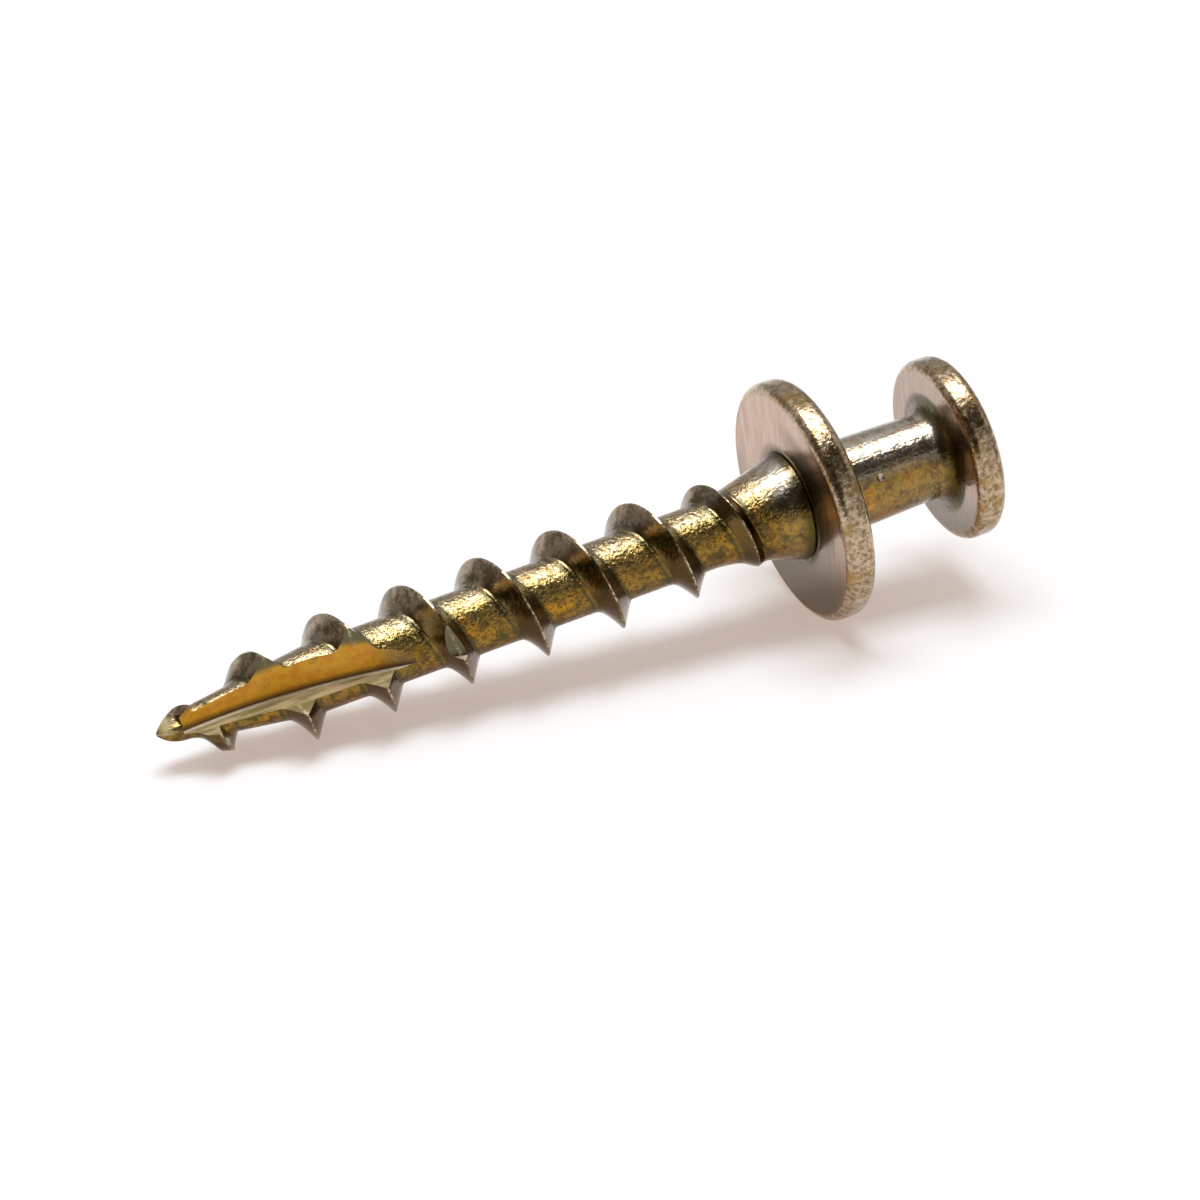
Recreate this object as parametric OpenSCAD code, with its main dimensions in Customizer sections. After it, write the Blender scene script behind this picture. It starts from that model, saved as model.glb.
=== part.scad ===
// Picture hanging screw: a coarse threaded shank with a slotted point, a large round
// flange that stops at the wall, a bare neck for the picture's wire or plate, and a
// smaller round head with a cross recess. One piece of plated steel.
// Built point down along Z, then laid on the floor plane Z = 0 as it comes to rest:
// on the rim of the flange and on a crest of the thread near the point.
// All sizes in millimetres.

/* [Whole screw] */
// Overall length from the point to the head's outer face
overall_length = 45; // [42:1:50]
// Distance from the point to the face of the flange that meets the wall
flange_face_at = 35; // [34:0.5:36]
// How far the screw is rolled about its own axis as it lies, in degrees
roll = 269.7; // [0:0.1:360]
// How far its axis rises towards the head as it lies, in degrees
axis_rise = 7.07; // [6:0.01:8]

/* [Thread] */
// Distance between neighbouring crests
thread_pitch = 4.21; // [3.8:0.01:4.6]
// Diameter over the crests
thread_diameter = 5.86; // [5.2:0.02:6.4]
// Diameter of the core between the crests
core_diameter = 3.44; // [3:0.02:3.8]
// Share of the pitch taken by the flank that faces the point
leading_flank = 0.237; // [0.18:0.001:0.35]
// Share of the pitch taken by the steeper flank that faces the head
trailing_flank = 0.207; // [0.12:0.001:0.3]
// Length over which the core tapers to the point
core_taper_length = 8.3; // [7:0.1:11]
// Length over which the crests grow to their full height
crest_taper_length = 7.8; // [6:0.1:9]
// Length over which the crest grows from a blunt ridge to its sharp form
blunt_length = 6.1; // [4:0.1:9]
// Share of the pitch taken by the flat on the blunt ridge at the point
blunt_flat = 0.12; // [0:0.01:0.2]
// Distance from the point at which the crests begin to get lower again
crest_drops_at = 28; // [24:0.5:30]
// How much lower the crests get, in millimetres of radius for each millimetre of length
crest_drop = 0.1; // [0:0.01:0.12]
// Distance from the point at which the thread begins to run out
thread_fades_at = 32.7; // [30:0.1:33]
// Length over which the thread runs out into the collar
thread_fade_length = 0.5; // [0.4:0.1:1.5]
// Angle from the slot's flat side to the start of the crest, in degrees
thread_start_angle = 126.5; // [0:0.5:360]

/* [Point] */
// Diameter of the blunt point
point_diameter = 0.72; // [0.5:0.02:1]
// How far the point leans towards the slot's open side
point_lean = 0.16; // [0:0.02:0.3]
// Length over which it leans
point_lean_length = 3.3; // [2:0.1:5]
// Length that is pinched square at the point
pinched_length = 1.6; // [1:0.1:2.4]
// Angle of the pinched flats, from the slot's flat side, in degrees
pinch_angle = 23; // [0:1:90]

/* [Slot in the point] */
// Distance from the point at which the slot begins
slot_start = 1.4; // [1:0.1:2]
// Radius of the round cutter that leaves the slot's floor
cutter_radius = 31.7; // [25:0.1:40]
// Depth left between the axis and the slot's floor at its deepest
slot_floor_offset = 0.24; // [0.1:0.02:0.5]
// Distance from the point at which the slot is deepest
slot_deepest_at = 3.7; // [2:0.1:5]

/* [Collar, flange and neck] */
// Diameter of the flange
flange_diameter = 12.7; // [11:0.1:14]
// Thickness of the flange
flange_thickness = 1.64; // [1.2:0.02:2]
// Radius of the rounding along both edges of the flange
flange_rounding = 0.56; // [0.3:0.02:0.58]
// Diameter to which the collar flares where it meets the flange
collar_diameter = 5.84; // [5.4:0.02:6.6]
// Length of the flared collar
collar_length = 4.9; // [3:0.1:6]
// Diameter of the bare neck beside the flange
neck_diameter_at_flange = 4.8; // [4.6:0.05:5]
// Diameter of the bare neck beside the head
neck_diameter_at_head = 4.5; // [4.2:0.05:4.7]
// Radius of the hollow rounding between neck and flange
flange_fillet = 0.6; // [0.3:0.05:0.8]
// Radius of the hollow rounding between neck and head
head_fillet = 0.9; // [0.6:0.05:1]

/* [Head] */
// Diameter of the head
head_diameter = 9.6; // [8.6:0.1:10.6]
// Thickness of the head
head_thickness = 1.62; // [1.3:0.02:2]
// Radius of the rounding along both edges of the head
head_rounding = 0.54; // [0.3:0.02:0.6]
// Width of the cross recess over two opposite wings
recess_span = 4.4; // [3.6:0.1:4.8]
// Width of one wing of the cross recess
recess_wing_width = 1.0; // [0.8:0.05:1.2]
// Depth of the cross recess
recess_depth = 2.3; // [1.8:0.1:2.6]

/* [Fineness] */
// Number of flats around one turn of the thread
flats_per_turn = 48; // [36:12:60]

/* [Hidden] */
$fn = 96;
core_r = core_diameter / 2;
crest_r = thread_diameter / 2;
point_r = point_diameter / 2;
flange_r = flange_diameter / 2;
collar_r = collar_diameter / 2;
neck_low_r = neck_diameter_at_flange / 2;
neck_high_r = neck_diameter_at_head / 2;
head_r = head_diameter / 2;
flange_back = flange_face_at + flange_thickness;
head_face = overall_length - head_thickness;
// the threaded part ends inside the flange, so the two share solid metal
sunk = 0.4;
shank_length = flange_face_at + sunk;
collar_start = flange_face_at - collar_length;

// steps across one pitch: crest, steeper flank, root, longer flank
profile_steps = [0, 0.25, 0.6, 1, 1.55, 2.1, 2.55, 2.85];

// share of the pitch at a step between 0 and 3
function pitch_share(step) =
    step <= 1 ? step * trailing_flank :
    step <= 2 ? trailing_flank + (step - 1) * (1 - trailing_flank - leading_flank) :
    1 - leading_flank + (step - 2) * leading_flank;

// a value held between 0 and 1
function unit(value) = min(1, max(0, value));

// height of the thread, 1 at the crest and 0 at the root, at a share of the pitch. Near the
// point the ridge is blunt: a flat top, a nearly upright side towards the head.
function crest_shape(share, z) =
    let (bluntness = unit(1 - z / blunt_length),
         flat = blunt_flat * bluntness,
         rise = leading_flank * (1 - 0.2 * bluntness),
         fall = trailing_flank * (1 - 0.95 * bluntness))
    share < fall ? 1 - share / fall :
    share > 1 - flat ? 1 :
    share > 1 - flat - rise ? pow(1 - (1 - flat - share) / rise, 1.4) : 0;

// radius of the core along the axis, with the rounded point, its taper and the collar
function core_at(z) =
    point_r * (1 - 0.83 * pow(1 - unit(z / point_r), 2))
    + (core_r - point_r) * pow(unit(z / core_taper_length), 0.76)
    + (collar_r - core_r) * pow(unit((z - collar_start) / collar_length), 1.5);

// factor that makes the round section square where the dies pinched the point
function pinched(z, angle) =
    let (turned = angle - pinch_angle,
         square = 0.93 / max(abs(cos(turned)), abs(sin(turned))))
    1 + (min(1.12, square) - 1) * unit((pinched_length - z) / 0.5);

// how far the middle of the section lies off the axis
function lean_at(z) = point_lean * unit(1 - z / point_lean_length);

// radius of the crest along the axis
function crest_at(z) =
    crest_r * pow(unit(z / crest_taper_length), 0.67)
    - crest_drop * max(0, z - crest_drops_at);

// share of the thread's height that is left where it runs out into the collar
function fade_at(z) = unit((thread_fades_at + thread_fade_length - z) / thread_fade_length);

// radius of the threaded surface at a height and a share of the pitch
function thread_r(z, share) =
    core_at(z) + max(0, crest_at(z) - core_at(z)) * fade_at(z) * crest_shape(share, z);

// heights of the rows of one column of the thread, pressed together past both ends
turns_below = 2;
turn_count = ceil(shank_length / thread_pitch) + 2;
row_count = turn_count * len(profile_steps);
row_gap = 0.012;

function row_share(row) = pitch_share(profile_steps[row % len(profile_steps)]);

function row_raw(row, angle) =
    thread_pitch * (floor(row / len(profile_steps)) - turns_below
                    + row_share(row) + angle / 360);

function row_z(row, angle) =
    min(shank_length - row_gap * (row_count - row),
        max(row_gap * (row + 1), row_raw(row, angle)));

// one point of the threaded surface
function thread_point(row, column) =
    let (angle = 360 * column / flats_per_turn,
         z = row_z(row, angle),
         share = (z - row_raw(row, angle)) / thread_pitch + row_share(row),
         turned = angle + thread_start_angle,
         r = thread_r(z, share - floor(share)) * pinched(z, turned))
    [r * cos(turned), r * sin(turned) - lean_at(z), z];

// The threaded shank as one closed surface whose rows follow the thread. After one turn
// a row has climbed by one pitch, so the last column is joined to the first one a whole
// pitch of rows higher.
module threaded_shank() {
    columns = flats_per_turn;
    lift = len(profile_steps);
    last_row = row_count - 1;
    last_column = columns - 1;
    side_points = [
        for (row = [0 : last_row])
            for (column = [0 : last_column])
                thread_point(row, column)
    ];
    function at(row, column) =
        column < columns ? row * columns + column : (row + lift) * columns;
    bottom = len(side_points);
    top = bottom + 1;
    points = concat(side_points, [[0, -point_lean, 0], [0, 0, shank_length]]);
    sides = [
        for (column = [0 : last_column])
            for (row = [0 : last_row - 1 - (column < last_column ? 0 : lift)])
                let (a = at(row, column),
                     b = at(row, column + 1),
                     c = at(row + 1, column),
                     d = at(row + 1, column + 1))
                each [[a, c, b], [b, c, d]]
    ];
    bottom_ring = concat(
        [for (column = [0 : last_column]) at(0, column)],
        [for (row = [lift : -1 : 1]) at(row, 0)]
    );
    top_ring = concat(
        [for (column = [0 : last_column]) at(last_row, column)],
        [for (row = [last_row - 1 : -1 : last_row - lift]) at(row, last_column)]
    );
    ends = [
        for (i = [0 : len(bottom_ring) - 1])
            let (j = (i + 1) % len(bottom_ring))
            each [[bottom, bottom_ring[i], bottom_ring[j]],
                  [top, top_ring[j], top_ring[i]]]
    ];
    polyhedron(points = points, faces = concat(sides, ends));
}

// what the cutter takes out near the point: a flat side through the axis, a round floor
module slot() {
    reach = 20;
    wide = 8;
    intersection() {
        translate([slot_floor_offset + cutter_radius, 0, slot_deepest_at])
            rotate([90, 0, 0])
                cylinder(r = cutter_radius, h = wide, $fn = 400);
        translate([0, -wide, slot_start])
            cube([wide, wide, reach]);
    }
}

// a flat round disc with rounded edges, as a half section
module disc_section(radius, from, to, rounding) {
    translate([0, from])
        square([radius - rounding, to - from]);
    translate([0, from + rounding])
        square([radius, to - from - 2 * rounding]);
    translate([radius - rounding, from + rounding])
        circle(r = rounding);
    translate([radius - rounding, to - rounding])
        circle(r = rounding);
}

// flange, bare neck and head, turned about the axis
module flange_neck_head() {
    sunk_low = flange_face_at + flange_rounding;
    sunk_high = overall_length - head_rounding;
    rotate_extrude() {
        disc_section(flange_r, flange_face_at, flange_back, flange_rounding);
        disc_section(head_r, head_face, overall_length, head_rounding);
        difference() {
            polygon([
                [0, sunk_low],
                [neck_low_r + flange_fillet, sunk_low],
                [neck_low_r + flange_fillet, flange_back + flange_fillet],
                [neck_high_r + head_fillet, head_face - head_fillet],
                [neck_high_r + head_fillet, sunk_high],
                [0, sunk_high]
            ]);
            translate([neck_low_r + flange_fillet, flange_back + flange_fillet])
                circle(r = flange_fillet);
            translate([neck_high_r + head_fillet, head_face - head_fillet])
                circle(r = head_fillet);
            polygon([
                [neck_low_r, flange_back + flange_fillet],
                [neck_low_r + 2 * flange_fillet, flange_back + flange_fillet],
                [neck_high_r + 2 * head_fillet, head_face - head_fillet],
                [neck_high_r, head_face - head_fillet]
            ]);
        }
    }
}

// cross recess for the driver: a tapered core with four tapered wings
module cross_recess() {
    over = 0.3;
    core_top = recess_span * 0.3;
    translate([0, 0, overall_length - recess_depth]) {
        cylinder(r1 = 0.55, r2 = core_top, h = recess_depth + over);
        for (turn = [0, 90])
            rotate([0, 0, turn])
                intersection() {
                    cylinder(r1 = recess_span * 0.27, r2 = recess_span * 0.5 + 0.05,
                             h = recess_depth + over);
                    translate([-recess_span, -recess_wing_width / 2, 0])
                        cube([2 * recess_span, recess_wing_width, recess_depth + over]);
                }
    }
}

// the whole screw, point at the origin, head up
module upright_screw() {
    difference() {
        union() {
            difference() {
                threaded_shank();
                slot();
            }
            flange_neck_head();
        }
        cross_recess();
    }
}

// how high the axis lies at the point, so that the rim of the flange rests on the floor
point_height = (flange_r - flange_rounding) * cos(axis_rise) + flange_rounding
               - (flange_face_at + flange_rounding) * sin(axis_rise);
// how far the head reaches along X, and the point back from it
head_reach = (overall_length - head_rounding) * cos(axis_rise)
             + (head_r - head_rounding) * sin(axis_rise) + head_rounding;
point_reach = -point_r * sin(axis_rise);

// the screw as it lies, its point to -X, the length centred
module screw() {
    color([0.72, 0.58, 0.3])
        translate([-(head_reach + point_reach) / 2, 0, point_height])
            rotate([0, 90 - axis_rise, 0])
                rotate([0, 0, roll])
                    upright_screw();
}

screw();
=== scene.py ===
# %% [markdown]
# # A picture hanging screw in yellow plated steel
# The real screw is one piece of wire, headed cold and rolled: a coarse thread with a slotted
# point, a round flange that stops at the wall, a bare neck and a smaller head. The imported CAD
# part gives its place and size. This lesson rebuilds its skin as one fine surface, so that
# crests, roundings and plating can be shown as close as a hand lens sees them.

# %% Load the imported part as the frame
import math

import bmesh
import bpy
import numpy as np
from mathutils import Matrix, Vector


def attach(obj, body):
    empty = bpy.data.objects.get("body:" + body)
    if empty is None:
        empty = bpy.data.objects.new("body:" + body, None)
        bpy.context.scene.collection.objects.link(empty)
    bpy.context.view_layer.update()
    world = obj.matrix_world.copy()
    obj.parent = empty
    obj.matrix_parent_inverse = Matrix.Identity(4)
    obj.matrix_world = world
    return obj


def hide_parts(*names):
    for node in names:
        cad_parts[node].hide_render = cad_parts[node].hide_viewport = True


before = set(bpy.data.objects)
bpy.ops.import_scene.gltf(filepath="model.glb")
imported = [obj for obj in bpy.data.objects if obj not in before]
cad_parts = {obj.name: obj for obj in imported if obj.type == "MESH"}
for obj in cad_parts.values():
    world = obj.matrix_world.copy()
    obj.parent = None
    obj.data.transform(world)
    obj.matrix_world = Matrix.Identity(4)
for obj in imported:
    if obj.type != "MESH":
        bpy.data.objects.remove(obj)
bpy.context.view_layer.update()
MM = 0.001

# %% [markdown]
# ## The camera
# The photograph is a close view with a long lens, taken from the point's side and from about
# thirty degrees above the table. A long lens keeps the two discs nearly the same shape. The
# camera is set by the point it looks at, a bearing, a height angle and a distance, because
# those are the values a photographer would change.

# %% Place the camera
LENS, FILM_WIDTH = 165.0, 36.0    # mm
CAMERA_BEARING = 25.926           # degrees, the way it looks, turned from +Y towards +X
CAMERA_TILT = 30.236              # degrees, how far it looks down
CAMERA_ROLL = 0.119               # degrees, about its own line of sight
CAMERA_DISTANCE = 277.0           # mm, from the point that it looks at
LOOKS_AT = (1.874, 0.880, 2.860)  # mm
NEAREST, FARTHEST = 0.005, 50.0   # metres, what lies outside them is not drawn


def place_camera():
    """Sight line = (sin b cos t, cos b cos t, -sin t) for bearing b and tilt t; the camera
    stands back from the point that it looks at along that line, and is rolled about it."""
    bearing, tilt, turn = (math.radians(a) for a in (CAMERA_BEARING, CAMERA_TILT, CAMERA_ROLL))
    sight = Vector((math.sin(bearing) * math.cos(tilt), math.cos(bearing) * math.cos(tilt),
                    -math.sin(tilt)))
    level = Vector((math.cos(bearing), -math.sin(bearing), 0.0))
    down = sight.cross(level)
    right = level * math.cos(turn) + down * math.sin(turn)
    up = -(down * math.cos(turn) - level * math.sin(turn))
    camera = bpy.data.objects.new("camera", bpy.data.cameras.new("camera"))
    bpy.context.scene.collection.objects.link(camera)
    camera.matrix_world = Matrix.Translation(Vector(LOOKS_AT) * MM - sight * CAMERA_DISTANCE * MM) \
        @ Matrix((right, up, -sight)).transposed().to_4x4()
    camera.data.lens, camera.data.sensor_width = LENS, FILM_WIDTH
    camera.data.clip_start, camera.data.clip_end = NEAREST, FARTHEST
    bpy.context.scene.camera = camera
    return camera


camera = place_camera()
print("camera at", [round(value, 4) for value in camera.matrix_world.translation])

# %% [markdown]
# ## How the screw lies
# All shapes are worked out with the screw standing on its point, its axis along Z, in
# millimetres. Then it is laid down: rolled about its axis, tipped over, and lifted until the
# rim of the flange touches the table. It rests on that rim and on a crest near the point.

# %% Sizes shared by the shapes, and the way from the standing to the lying screw
LENGTH = 45.0                     # point to outer face of the head
FLANGE_FACE = 35.0                # face that meets the wall
FLANGE_R, FLANGE_THICK, FLANGE_ROUND = 6.35, 1.64, 0.56
HEAD_R, HEAD_THICK, HEAD_ROUND = 4.8, 1.62, 0.54
FLANGE_BACK, HEAD_FACE = FLANGE_FACE + FLANGE_THICK, LENGTH - HEAD_THICK
ROLL, AXIS_RISE = 269.7, 7.07     # degrees
POINT_R = 0.36


def turn_about(axis, degrees):
    """The 3 x 3 matrix that turns column points about an axis named X, Y or Z."""
    return np.array(Matrix.Rotation(math.radians(degrees), 3, axis))


laid = turn_about("Y", 90.0 - AXIS_RISE) @ turn_about("Z", ROLL)
rise = math.radians(AXIS_RISE)
head_reach = ((LENGTH - HEAD_ROUND) * math.cos(rise)
              + (HEAD_R - HEAD_ROUND) * math.sin(rise) + HEAD_ROUND)
point_place = np.array([
    -(head_reach - POINT_R * math.sin(rise)) / 2,
    0.0,
    (FLANGE_R - FLANGE_ROUND) * math.cos(rise) + FLANGE_ROUND
    - (FLANGE_FACE + FLANGE_ROUND) * math.sin(rise),
])


def lay_down(points):
    """World point in metres = (turned standing point + place of the screw's point) x 0.001."""
    return (points @ laid.T + point_place) * MM


print("the point lies at", point_place.round(3), "mm")

# %% [markdown]
# ## The threaded shank
# A coarse thread like this is a ridge wound round a tapered core. Rows of the mesh could be
# level rings, but then the sharp crest would cut across them and look like a saw. Here every
# row climbs with the thread, one pitch a turn, so that each crest, flank and root is a clean
# line of edges. Where the wound rows run past an end of the shank they are pressed onto it.

# %% The core, from the nose of the point to the collar
PITCH = 4.21
CREST_START = 126.5               # degrees, where the crest begins at the point
CORE_R, CORE_TAPER, CORE_POWER = 1.72, 8.3, 0.76    # radius, length and bend of its taper
COLLAR_R, COLLAR_LENGTH, COLLAR_POWER = 2.92, 4.9, 1.5
NOSE_LENGTH, NOSE_CUT, NOSE_POWER = 0.75, 0.9, 1.6  # mm of cone at the tip, its depth and bend
NOSE_DROP = 0.09                  # mm that the nose turns back towards the axis
POINT_LEAN, LEAN_LENGTH = 0.16, 3.3                 # mm off the axis, and over which length
PINCHED_LENGTH, PINCH_ANGLE = 1.6, 23.0             # mm and degrees of the square point
PINCH_SIDE, PINCH_CORNER, PINCH_FADE = 0.93, 1.12, 0.5   # of the round radius; mm


def unit(value):
    """The value held between 0 and 1."""
    return np.clip(value, 0.0, 1.0)


def core_radius(z):
    """Point x (1 - cut x (1 - z / nose)^bend) + (core - point) x (z / taper)^bend
    + (collar - core) x (way along the collar)^bend, each with its own bend, and every
    share held between 0 and 1."""
    along_collar = unit((z - FLANGE_FACE + COLLAR_LENGTH) / COLLAR_LENGTH)
    return (POINT_R * (1 - NOSE_CUT * (1 - unit(z / NOSE_LENGTH)) ** NOSE_POWER)
            + (CORE_R - POINT_R) * unit(z / CORE_TAPER) ** CORE_POWER
            + (COLLAR_R - CORE_R) * along_collar ** COLLAR_POWER)


def pinched(z, angle):
    """Factor from round to square at the point: side / max(|cos|, |sin|), no more than the
    corner, fading out where the pinched length ends."""
    turned = angle - math.radians(PINCH_ANGLE)
    square = PINCH_SIDE / np.maximum(np.abs(np.cos(turned)), np.abs(np.sin(turned)))
    return 1 + (np.minimum(PINCH_CORNER, square) - 1) * unit((PINCHED_LENGTH - z) / PINCH_FADE)


def off_axis(z):
    """Lean x (1 - z / its length) - nose's drop x (1 - z / nose's length), both held."""
    return POINT_LEAN * unit(1 - z / LEAN_LENGTH) - NOSE_DROP * unit(1 - z / NOSE_LENGTH)


print("core at 1, 5 and 20 mm:", [round(float(core_radius(z)), 3) for z in (1.0, 5.0, 20.0)])

# %% The ridge that is wound round the core
CREST_R, CREST_TAPER, CREST_POWER = 2.927, 7.8, 0.67     # the same for the crest
CREST_DROPS_AT, CREST_DROP = 27.5, 0.12             # mm from the point, mm lost per mm
THREAD_END, THREAD_FADE = 33.2, 0.5                 # mm, where and over what it runs out
FLANK_TO_HEAD, FLANK_TO_POINT = 0.207, 0.237        # shares of the pitch
HOLLOW = 1.4                      # power of the flank that faces the point
CREST_LAND = 0.011                # half the narrow flat on the crest, a share of the pitch
ROOT_SOFTNESS, SOFT_HEIGHT = 0.05, 0.3    # mm of soft root, full from this height on
BLUNT_LENGTH, BLUNT_FADE, BLUNT_FLAT = 6.1, 1.6, 0.14    # mm, steepness, share of the pitch
BLUNT_UPRIGHT, BLUNT_NARROW = 0.95, 0.2             # shares taken off its two flanks
BLUNT_LIFT, LIFT_STARTS = 0.36, 1.4                 # mm that it stands higher, from where
TIGHTENS_AT, TIGHTENING = 29.8, 0.18                # mm from the point, share lost past that


def tightened(z):
    """The last turns lie closer together: z - tightening x what lies past their start."""
    return z - TIGHTENING * np.maximum(0, z - TIGHTENS_AT)


def loosened(z):
    """The way back: z + what lies past the start x tightening / (1 - tightening)."""
    return z + np.maximum(0, z - TIGHTENS_AT) * TIGHTENING / (1 - TIGHTENING)


def bluntness(z):
    """1 at the point, 0 past the blunt length: steepness x (1 - z / length), held."""
    return unit(BLUNT_FADE * (1 - z / BLUNT_LENGTH))


def crest_radius(z):
    """Full crest x (z / taper)^bend, a little higher while it is blunt, and lower again by
    its drop x what lies past the place where the drop begins."""
    return (CREST_R * unit(z / CREST_TAPER) ** CREST_POWER
            + BLUNT_LIFT * bluntness(z) * unit(z / LIFT_STARTS - 1)
            - CREST_DROP * np.maximum(0, z - CREST_DROPS_AT))


def thread_radius(z, share):
    """Core and ridge joined by a soft maximum: core + (gap + sqrt(gap^2 + soft^2)) / 2. The
    ridge is flat over its narrow land, straight on the side that faces the head, and hollow
    on the side that faces the point. Near the point it is blunt: a wide flat, and a nearly
    upright side towards the head."""
    share = share - np.floor(share)
    blunt = bluntness(z)
    fall = FLANK_TO_HEAD * (1 - BLUNT_UPRIGHT * blunt)
    land = np.minimum(CREST_LAND, fall / 2)
    straight = 1 - (share - land) / (fall - land)
    way_up = 1 - (1 - share - CREST_LAND - BLUNT_FLAT * blunt) \
        / (FLANK_TO_POINT * (1 - BLUNT_NARROW * blunt) - CREST_LAND)
    hollow = np.sign(way_up) * np.abs(way_up) ** HOLLOW
    ridge = np.minimum(1.0, np.maximum(straight, hollow))
    core = core_radius(z)
    height = np.maximum(0, crest_radius(z) - core) * unit((THREAD_END - z) / THREAD_FADE)
    soft = ROOT_SOFTNESS * unit(height / SOFT_HEIGHT)
    gap = height * ridge
    return core + 0.5 * (gap + np.sqrt(gap ** 2 + soft ** 2)) * (height > 0)


print("crest at 1, 5 and 20 mm:", [round(float(crest_radius(z)), 3) for z in (1.0, 5.0, 20.0)])

# %% Wind the rows of the shank
COLUMNS = 192
SHANK_END, SHANK_TOP = 0.015, 34.6   # mm; plain turned rings take over at the top
# one turn's rows as shares of the pitch: crest, flank, root, close rows where they meet
ROW_SHARES = np.concatenate([
    [0.0, CREST_LAND], np.linspace(0.03, 0.19, 7), [0.2, 0.207, 0.215, 0.23],
    np.linspace(0.27, 0.72, 9), [0.745, 0.757, 0.765, 0.775],
    np.linspace(0.79, 0.97, 9), [1 - CREST_LAND],
])


def sheet_faces(number):
    """Four-cornered faces between neighbours in a grid of point numbers."""
    return np.stack([number[:-1, :-1], number[:-1, 1:], number[1:, 1:], number[1:, :-1]],
                    axis=-1).reshape(-1, 4)


def wound_shank():
    """Height = pitch x (turn + share of the row + angle / 360), tightened towards the collar
    and pressed between both ends. After a whole turn a row has climbed one pitch, so the last
    column is joined to the first one a pitch of rows higher. Returns points and faces."""
    per_turn = len(ROW_SHARES)
    turns = int(math.ceil(SHANK_TOP / PITCH)) + 3
    row = np.arange(turns * per_turn)
    start = row // per_turn - 2 + ROW_SHARES[row % per_turn]
    turned = np.arange(COLUMNS) / COLUMNS
    raw = PITCH * (start[:, None] + turned[None, :])
    z = np.clip(tightened(raw), SHANK_END, SHANK_TOP)
    angle = np.radians(CREST_START) + 2 * np.pi * turned[None, :]
    radius = thread_radius(z, loosened(z) / PITCH - turned[None, :]) * pinched(z, angle)
    points = np.stack([radius * np.cos(angle), radius * np.sin(angle) - off_axis(z), z], axis=-1)
    number = np.arange(raw.size).reshape(raw.shape)
    climbed = number[np.minimum(row + per_turn, len(row) - 1), 0]
    number = np.concatenate([number, climbed[:, None]], axis=1)
    return points.reshape(-1, 3), sheet_faces(number)


shank_points, shank_faces = wound_shank()
print("wound shank:", len(shank_points), "points,", len(shank_faces), "faces")

# %% [markdown]
# ## Collar, flange, neck and head
# These were turned and pressed round, so one half section spun about the axis gives them. The
# section is drawn as a person would on paper: straight lines joined by quarter circles, hollow
# where the neck grows out of a disc and round along the rims.

# %% Draw the half section
NECK_LOW_R, NECK_HIGH_R = 2.4, 2.25
LOW_FILLET, HIGH_FILLET = 0.6, 0.9
SHOULDER_ROUND = 0.1              # mm, the collar's own edge against the flange
GAP = 0.1                         # mm, how far a straight line stops before the next arc
POLE_R = 0.12                     # mm, the small ring that is closed in the head's middle


def arc(centre_r, centre_z, radius, start, end, steps):
    """Points (r, z) = centre + radius x (cos a, sin a), for a from start to end in degrees."""
    a = np.radians(np.linspace(start, end, steps))
    return np.stack([centre_r + radius * np.cos(a), centre_z + radius * np.sin(a)], axis=1)


def line(from_r, from_z, to_r, to_z, steps):
    """Evenly spaced points (r, z) on a straight line, both ends included."""
    return np.linspace((from_r, from_z), (to_r, to_z), steps)


def half_section():
    """The outline from the collar out along the flange, in along the neck and out again over
    the head to its middle, as points (r, z)."""
    shoulder_z = FLANGE_FACE - SHOULDER_ROUND
    shoulder_r = core_radius(shoulder_z)
    collar_z = np.linspace(SHANK_TOP, shoulder_z, 5)[:-1]
    rim, top = FLANGE_R - FLANGE_ROUND, HEAD_R - HEAD_ROUND
    return np.concatenate([
        np.stack([core_radius(collar_z), collar_z], axis=1),
        arc(shoulder_r - SHOULDER_ROUND, shoulder_z, SHOULDER_ROUND, 0, 80, 7),
        line(shoulder_r, FLANGE_FACE, rim - GAP, FLANGE_FACE, 12),
        arc(rim, FLANGE_FACE + FLANGE_ROUND, FLANGE_ROUND, -90, 0, 10),
        arc(rim, FLANGE_BACK - FLANGE_ROUND, FLANGE_ROUND, 0, 90, 10),
        line(rim - GAP, FLANGE_BACK, NECK_LOW_R + LOW_FILLET + GAP, FLANGE_BACK, 8),
        arc(NECK_LOW_R + LOW_FILLET, FLANGE_BACK + LOW_FILLET, LOW_FILLET, 270, 180, 9),
        line(NECK_LOW_R, FLANGE_BACK + LOW_FILLET + 2 * GAP,
             NECK_HIGH_R, HEAD_FACE - HIGH_FILLET - 2 * GAP, 24),
        arc(NECK_HIGH_R + HIGH_FILLET, HEAD_FACE - HIGH_FILLET, HIGH_FILLET, 180, 90, 11),
        line(NECK_HIGH_R + HIGH_FILLET + GAP, HEAD_FACE, top - 0.8 * GAP, HEAD_FACE, 6),
        arc(top, HEAD_FACE + HEAD_ROUND, HEAD_ROUND, -90, 0, 10),
        arc(top, LENGTH - HEAD_ROUND, HEAD_ROUND, 0, 90, 10),
        line(top - GAP, LENGTH, POLE_R, LENGTH, 14),
    ])


section = half_section()
print("half section:", len(section), "points")

# %% Spin it
def spun(section):
    """Point = (r cos a, r sin a, z), with the same columns as the shank."""
    a = np.radians(CREST_START) + 2 * np.pi * np.arange(COLUMNS) / COLUMNS
    r, z = section[:, :1], section[:, 1:]
    points = np.stack([r * np.cos(a), r * np.sin(a), np.broadcast_to(z, (len(z), COLUMNS))],
                      axis=-1)
    number = np.arange(len(section) * COLUMNS).reshape(len(section), COLUMNS)
    return points.reshape(-1, 3), sheet_faces(np.concatenate([number, number[:, :1]], axis=1))


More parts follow.
